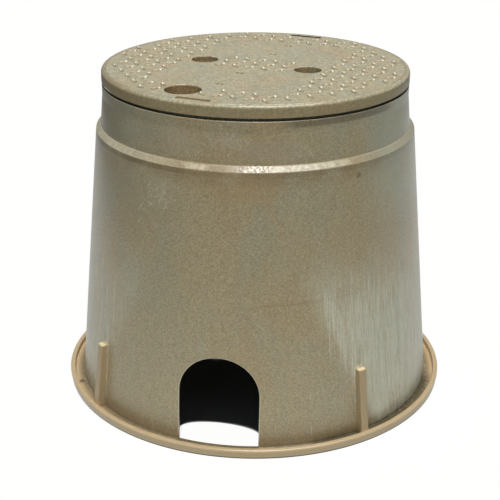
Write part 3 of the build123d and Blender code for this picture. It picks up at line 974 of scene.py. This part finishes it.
# Cover plastic, set out like the body's
coverLook = {
    "base": (181, 173, 145), "warm": (180, 161, 129), "grey": (166, 169, 149), "skirtFlat": (152, 137, 103),
    "skirt": (0.74, 0.67, 0.56, 1), "bore": (0.8, 0.65, 0.49, 1), "treadGlint": (255, 252, 236),
    "brownShade": (130, 110, 78), "rimHighlight": (240, 232, 210), "litFrontNotch": (188, 163, 121),
    "shadedBackNotch": (76, 66, 50), "gateMark": (74, 50, 32),
    "clouds": 0.6, "speckle": 0.26, "cloudSize": 26.0, "cloudStretch": 1.0, "speckleSize": 340.0,
    "grit": 0.22, "gritSize": 470.0, "waves": 0.3, "grain": 0.06, "bump": 0.35, "skirtShare": 0.5,
    "roughness": 0.38, "treadRoughness": 0.42, "glintRoughness": 0.16, "rimRoughness": 0.18,
    "glintWidth": 1.15, "glintLength": 3.4, "glintTurn": 23.0,
    "glintAt": (-0.7, 0.7), "glintOdd": (2.9, 1.5),
    "gateForward": (74.0, 39.0, -33.0, -71.0), "gateAcross": (-2.0, 2.0),
}
coverNoises = {"clumps": (60.0, 4.0, 0.6, 0.4), "brokenPaleNoise": (420.0, 2.0, 0.6)}
coverAreas = {
    "skirt": {"z": (276.3, 274.5), "away": (124.0, 126.5)},
    "bores": {"z": (277.2, 276.1), "away": (122.0, 120.0)},
    "inNotch": {"z": (277.3, 277.0), "away": (115.2, 121.8, 0.2)}, "inside": {"away": (121.0, 120.0)},
    "onTread": {"z": (277.6, 277.8), "inside": None}, "brokenPale": {"brokenPaleNoise": (0.42, 0.6)},
    "rimHighlight": {"away": (124.8, 125.6, 0.4), "z": (276.3, 277.0), "brokenPale": None, "azimuth": (2.0, 26.0, 7.0)},
}
facePaints = [("warm", 0.25, {"clumps": (0.42, 0.62), "z": (277.1, 277.4)})]
# a painted highlight along the rim's round at the front, broken up by noise
rimPaints = [("rimHighlight", 0.9, {"rimHighlight": None})]
# The skirt's left is painted darker, as painted shade. The rim's groove is painted darker, and painted shade
# lies round the foot and on the flanks of the tread's nubs, whose tops carry painted highlights.
treadPaints = [
    ("brownShade", 0.58, {"azimuth": (-16.0, -56.0), "away": (123.8, 125.6)}),
    # painted light on the front notch's walls, painted shade in the back notch's
    ("litFrontNotch", 0.8, {"inNotch": None, "y": (-20.0, -60.0)}),
    ("shadedBackNotch", 1, {"inNotch": None, "y": (20.0, 60.0)}),
    ("brownShade", 0.4, {"away": (123.6, 124.6, 0.5), "z": (276.9, 277.2)}),
    ("brownShade", 0.75, {"z": (277.53, 277.8, 0.02), "inside": None}),
    ("brownShade", 0.35, {"z": (277.8, 278.3, 0.2), "inside": None}),
    ("treadGlint", 1, {"rubbedAndGlints": None}),
]

coverMarks = [
    ((-6.4, -124.3, 277.3), (1.6, 1.2, 1.2), (84, 66, 44), 0.8, 0.3, 600),
    # a painted highlight on the skirt's lower edge, at the left
    ((-108.0, -68.0, 268.0), (10.0, 16.0, 1.5), (216, 212, 194), 0.9, 0.2, 400),
]


def gateMarks():
    # Pairs of small dark marks, painted along the line between the notches, in the cover's own frame
    turn = math.radians(cover["turn"])
    marks = []
    for forward in coverLook["gateForward"]:
        for across in coverLook["gateAcross"]:
            x = across * math.cos(turn) - forward * math.sin(turn)
            y = across * math.sin(turn) + forward * math.cos(turn)
            marks.append(((x, y, cover["top"]), (1.6, 2.0, 2.0), coverLook["gateMark"], 0.9, 0.15, 500))
    return marks


def glintSpots(position):
    # Painted highlights on the tread: one narrow streak in each cell of the tread's grid, all drawn out the
    # same way. Nubs that lean one way carry it at one end, those that lean the other way near the middle.
    square = fromNode("ShaderNodeVectorRotate", {"Vector": position, "Angle": -math.radians(cover["turn"])},
                      rotation_type="Z_AXIS")
    column, row, _ = axes(vectorMaths("MULTIPLY", square, (1 / (tread["pitch"] * mm),) * 3))
    wholeColumn, wholeRow = maths("ROUND", column), maths("ROUND", row)
    odd = maths("PINGPONG", wholeColumn + wholeRow, 1.0)
    start, more = coverLook["glintAt"], coverLook["glintOdd"]
    across = (column - wholeColumn) * tread["pitch"] - (odd * more[0] + start[0])
    forward = (row - wholeRow) * tread["pitch"] - (odd * more[1] + start[1])
    width, way = coverLook["glintWidth"], math.radians(coverLook["glintTurn"])
    along = forward * math.cos(way) - across * math.sin(way)
    aside = across * math.cos(way) + forward * math.sin(way)
    return spread(rootOfSquares(along * (width / coverLook["glintLength"]), aside), width, width * 0.6)


def coverPlastic():
    look = coverLook
    material, shader, position = startMaterial("coverPlastic")
    _, y, z, away, azimuth = inMillimetres(position)
    at = {name: noise(position, *settings) for name, settings in coverNoises.items()}
    at.update(y=y, z=z, away=away, azimuth=azimuth)
    nameAreas(at, coverAreas)
    # painted highlights on the tread's nubs
    at["rubbedAndGlints"] = at["onTread"] * glintSpots(position)

    # skirt and bores are browner, by a share of each primary
    tone = paintAll(mottled(position, look), look, at, facePaints)
    tone = mixColour(at["skirt"], tone, look["skirt"], "MULTIPLY")
    tone = paint(tone, look["skirtFlat"], at["skirt"], look["skirtShare"])
    tone = mixColour(at["bores"], tone, look["bore"], "MULTIPLY")
    tone = addMarks(position, paintAll(tone, look, at, treadPaints), coverMarks + gateMarks())
    tone = paintAll(tone, look, at, rimPaints)

    rough = look["roughness"] - at["onTread"] * (look["roughness"] - look["treadRoughness"])
    rough = rough - at["rubbedAndGlints"] * (look["treadRoughness"] - look["glintRoughness"])
    rough = rough - at["rimHighlight"] * (look["roughness"] - look["rimRoughness"])
    finishMaterial(shader, tone, rough, grainHeight(position, look), look)
    return material


# Pieces
boxMoulding = makeBody()
boxMoulding.data.materials.append(bodyPlastic())
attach(boxMoulding, "box")
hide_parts("box_body")
print("stage: body", len(boxMoulding.data.polygons))

coverMoulding = makeCover()
coverMoulding.data.materials.append(coverPlastic())
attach(coverMoulding, "lid")
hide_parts("cover")
print("stage: cover", len(coverMoulding.data.polygons))


# Floor, light and camera
studio = {
    "floorSize": 6.0, "insideRadius": 0.1525, "insideEdge": 0.003, "insideBounce": 0.12, "insideSeen": 0.3,
    "sheetCentre": (0.18, 0.05), "sheetRadius": 0.68, "sheetEdge": 0.07,
    "sheenCentre": (0.05, 0.355), "sheenRadius": 0.83, "sheenEdge": 0.09,
    "sheetBounce": (0.52, 0.56, 0.55, 1), "farBounce": (0.12, 0.12, 0.12, 1), "slotPlane": -0.149,
    "shadowShare": 0.16, "worldFill": 0.16, "worldGloss": 0.3, "worldTint": (0.84, 0.98, 1.0, 1),
    "sunStrength": 3.0, "sunElevation": 66.5, "sunAzimuth": 10.5, "sunSize": 2.5,
    "sunColour": (1.0, 0.965, 0.91), "inSlotEdge": (0.0025, 0.001),
    "sheenElevation": 62.0, "sheenAzimuth": 60.0, "sheenStrength": 1.6, "sheenSize": 24.0,
    "lens": 1160.227 * 36 / 500, "cameraAt": (0.1790, -0.9336, 0.5065), "pitch": 22.642, "heading": 11.1,
    "roll": 0.186,
}
white = (1, 1, 1, 1)


def lampWay(elevation, azimuth):
    # Direction from the ground to a lamp
    up, side = math.radians(elevation), math.radians(azimuth)
    return Vector((math.cos(up) * math.sin(side), -math.cos(up) * math.cos(side), math.sin(up)))


def throughSlot(position):
    # Ground inside the box that the sun reaches, where its line to the sun crosses the slot's plane in the
    # arch;
    # the floor shows a painted pool of light there
    x, y, _ = axes(position)
    way = lampWay(studio["sunElevation"], studio["sunAzimuth"])
    half, spring = body["slotWidth"] / 2 * mm, (body["slotHeight"] - body["slotWidth"] / 2) * mm
    reach = (y - studio["slotPlane"]) * (-1 / way.y)
    rise = maths("MAXIMUM", reach * way.z - spring, 0.0)
    return spread(rootOfSquares(x + reach * way.x, rise), *(half + out for out in studio["inSlotEdge"]))


def roundSheet(position, name):
    # One within a circle on the floor, with a soft edge
    far = vectorMaths("DISTANCE", position, (*studio[name + "Centre"], 0))
    radius, edge = studio[name + "Radius"], studio[name + "Edge"]
    return spread(far, radius + edge, radius - edge)


def seenRays(tree, glossShare):
    # One for the camera's rays, a share for rays mirrored or let through, zero for the others
    rays = nodeIn(tree, "ShaderNodeLightPath").outputs
    mirrored = maths("MAXIMUM", nodeValue(rays["Is Glossy Ray"]), nodeValue(rays["Is Transmission Ray"]))
    return maths("MAXIMUM", nodeValue(rays["Is Camera Ray"]), mirrored * glossShare)


def mixShader(factor, first, second):
    return fromNode("ShaderNodeMixShader", {0: factor, 1: first, 2: second})


def makeFloor():
    # Camera rays see white paint with the object's faint shadow. Other rays meet a pale sheet of limited
    # size, reflections a larger one set further back, and the ground closed in by the box is painted dark as
    # painted shade, except where the sun reaches it through the slot: there camera rays see the white paint,
    # a painted pool of light.
    half = studio["floorSize"] / 2
    mesh = bpy.data.meshes.new("studioFloor")
    corners = [(-half, -half, 0), (half, -half, 0), (half, half, 0), (-half, half, 0)]
    mesh.from_pydata(corners, [], [(0, 1, 2, 3)])
    floor = bpy.data.objects.new("studioFloor", mesh)
    bpy.context.scene.collection.objects.link(floor)
    material = bpy.data.materials.new("floorPaint")
    material.use_nodes = True
    tree = material.node_tree
    tree.nodes.clear()
    position = nodeValue(nodeIn(tree, "ShaderNodeTexCoord").outputs["Object"])
    inside = studio["insideRadius"]
    outside = spread(vectorMaths("LENGTH", position), inside, inside + studio["insideEdge"])

    def diffuse(tint):
        return fromNode("ShaderNodeBsdfDiffuse", {"Color": tint}, tree=tree)

    bounce = mixColour(roundSheet(position, "sheet"), studio["farBounce"], studio["sheetBounce"])
    # painted shade: the ground inside the box is dark for light bounced from it
    bounce = mixColour(outside, (studio["insideBounce"],) * 3 + (1,), bounce)
    glow = fromNode("ShaderNodeEmission", {"Color": white, "Strength": 1.0}, tree=tree)
    seenOutside = mixShader(studio["shadowShare"], glow, diffuse(white))
    # a painted pool of light where the sun reaches the ground through the slot
    seenInside = mixShader(throughSlot(position), diffuse((studio["insideSeen"],) * 3 + (1,)), seenOutside)
    seenFloor = mixShader(outside, seenInside, seenOutside)
    seen = seenRays(tree, roundSheet(position, "sheen"))
    nodeIn(tree, "ShaderNodeOutputMaterial", {0: mixShader(seen, diffuse(bounce), seenFloor)})
    floor.data.materials.append(material)


def makeWorld():
    world = bpy.data.worlds.new("studioWorld")
    bpy.context.scene.world = world
    world.use_nodes = True
    tree = world.node_tree
    tree.nodes.clear()
    dim, bright = (fromNode("ShaderNodeBackground", {"Color": tint, "Strength": strength}, tree=tree)
                   for tint, strength in ((studio["worldTint"], studio["worldFill"]), (white, 1.0)))
    nodeIn(tree, "ShaderNodeOutputWorld", {0: mixShader(seenRays(tree, studio["worldGloss"]), dim, bright)})


def makeSun(name, look, tint, shines=True):
    # A lamp that doesn't shine only shows in reflections, as a soft highlight
    lamp = bpy.data.lights.new(name, "SUN")
    lamp.energy = studio[look + "Strength"]
    lamp.angle = math.radians(studio[look + "Size"])
    lamp.color = tint
    sun = bpy.data.objects.new(name, lamp)
    bpy.context.scene.collection.objects.link(sun)
    toLight = lampWay(studio[look + "Elevation"], studio[look + "Azimuth"])
    sun.rotation_euler = (-toLight).to_track_quat("-Z", "Y").to_euler()
    sun.location = toLight * 3
    sun.visible_diffuse = shines


def makeCamera():
    camera = bpy.data.cameras.new("photoCamera")
    camera.sensor_width = 36
    camera.lens = studio["lens"]
    camera.clip_start, camera.clip_end = 0.05, 50
    holder = bpy.data.objects.new("photoCamera", camera)
    bpy.context.scene.collection.objects.link(holder)
    holder.location = studio["cameraAt"]
    turn = (Matrix.Rotation(math.radians(studio["heading"]), 3, "Z")
            @ Matrix.Rotation(math.radians(90 - studio["pitch"]), 3, "X")
            @ Matrix.Rotation(math.radians(studio["roll"]), 3, "Z"))
    holder.rotation_euler = turn.to_euler()
    bpy.context.scene.camera = holder


makeFloor()
makeWorld()
makeSun("keyLight", "sun", studio["sunColour"])
makeSun("sideSheen", "sheen", (1, 1, 1), False)
makeCamera()
bpy.context.scene.view_settings.view_transform = "Standard"
print("stage: studio")
